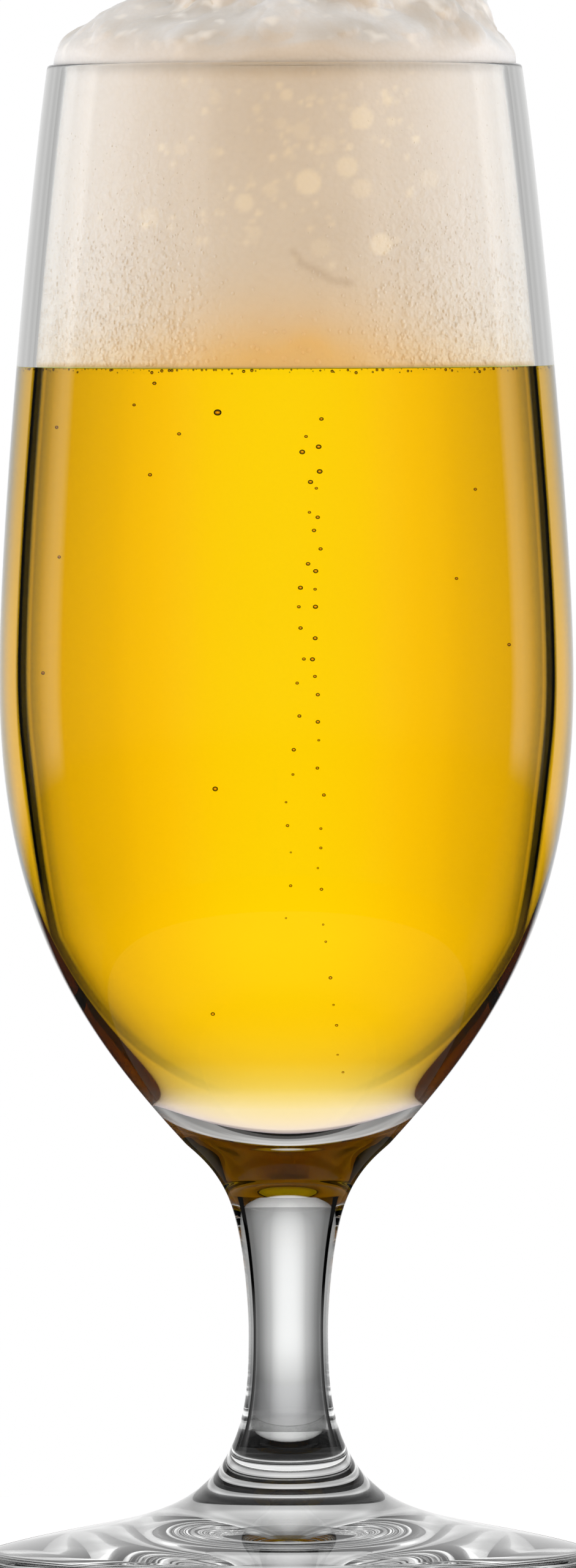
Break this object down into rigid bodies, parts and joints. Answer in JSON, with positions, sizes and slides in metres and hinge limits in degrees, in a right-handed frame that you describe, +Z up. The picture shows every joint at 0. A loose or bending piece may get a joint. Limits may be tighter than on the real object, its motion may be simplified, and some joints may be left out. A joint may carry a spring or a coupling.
{
  "type": "tulip beer glass",
  "caption": "Tulip beer glass on a short waisted stem and round foot, full of amber beer under a tall head of foam that stands over the rim.",
  "frame": {"origin": "where the axis of the glass meets the plane that the foot rests on", "axes": "+Z up along the axis of the glass, -Y towards the viewer of the picture, +X to the viewer's right"},
  "size_m": [0.076, 0.076, 0.205],
  "materials": {
    "glass": "gloss",
    "beer": "gloss",
    "foam": "matte"
  },
  "bodies": {
    "root": {"bowl": "glass", "stem": "glass", "foot": "glass", "beer": "beer", "foam_head": "foam"}
  },
  "joints": []
}
